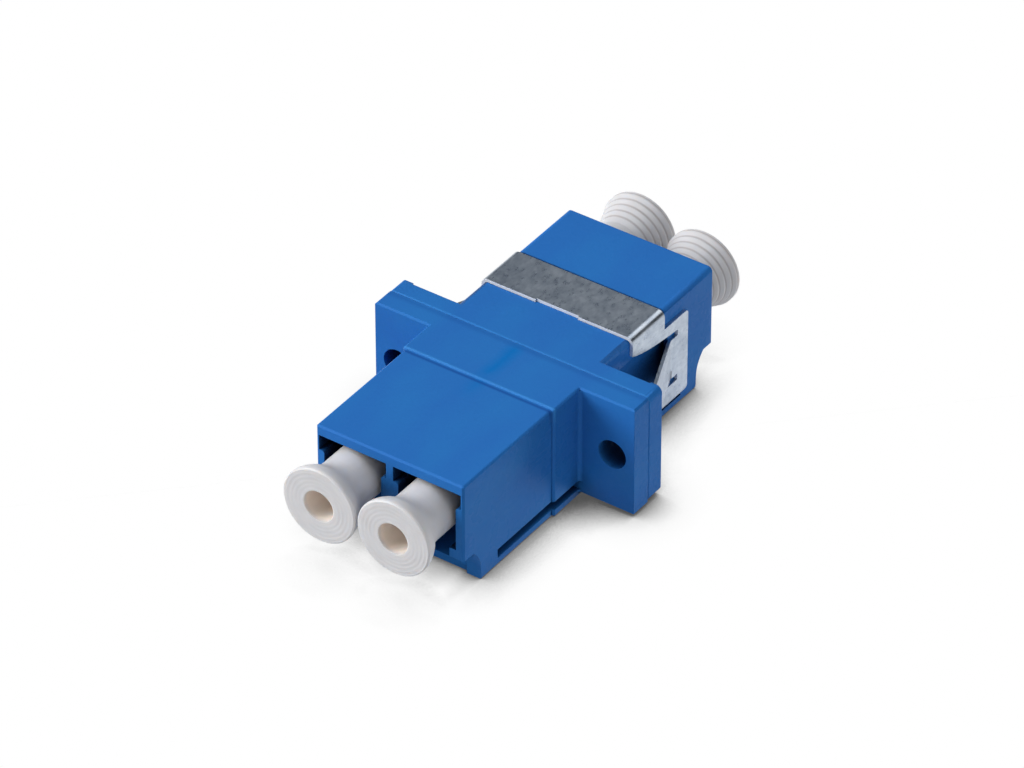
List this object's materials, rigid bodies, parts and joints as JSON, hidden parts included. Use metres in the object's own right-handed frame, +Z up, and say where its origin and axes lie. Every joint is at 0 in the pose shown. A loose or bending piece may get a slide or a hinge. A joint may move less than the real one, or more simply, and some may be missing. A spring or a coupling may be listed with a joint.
{
  "type": "lc duplex fibre adapter",
  "caption": "Blue duplex fibre adapter with a screw flange, a folded metal panel clip and white trumpet shaped dust caps in its ports.",
  "frame": {"origin": "on the plane that the adapter stands on, in the welded seam between the two housings, midway between the ports", "axes": "+Y along the ports towards the rear, clip side; +X across both ports towards one screw hole; +Z up, away from the latch slots"},
  "size_m": [0.022, 0.0394, 0.0096],
  "materials": {
    "housing_plastic": "satin moulded blue PBT",
    "clip_steel": "thin plated spring steel",
    "sleeve_ceramic": "polished white zirconia",
    "cap_plastic": "soft translucent white polyethylene"
  },
  "bodies": {
    "adapter": {"front_housing": "housing_plastic", "rear_housing": "housing_plastic", "panel_clip": "clip_steel", "sleeve_left": "sleeve_ceramic", "sleeve_right": "sleeve_ceramic"},
    "front_left_cap": {"cap_front_left": "cap_plastic"},
    "front_right_cap": {"cap_front_right": "cap_plastic"},
    "rear_left_cap": {"cap_rear_left": "cap_plastic"},
    "rear_right_cap": {"cap_rear_right": "cap_plastic"}
  },
  "joints": [
    {"name": "cap_front_left_slide", "type": "slide", "parent": "adapter", "child": "front_left_cap", "axis": [0, -1, 0], "range_m": [0, 0.016]},
    {"name": "cap_front_right_slide", "type": "slide", "parent": "adapter", "child": "front_right_cap", "axis": [0, -1, 0], "range_m": [0, 0.016]},
    {"name": "cap_rear_left_slide", "type": "slide", "parent": "adapter", "child": "rear_left_cap", "axis": [0, 1, 0], "range_m": [0, 0.016]},
    {"name": "cap_rear_right_slide", "type": "slide", "parent": "adapter", "child": "rear_right_cap", "axis": [0, 1, 0], "range_m": [0, 0.016]}
  ]
}
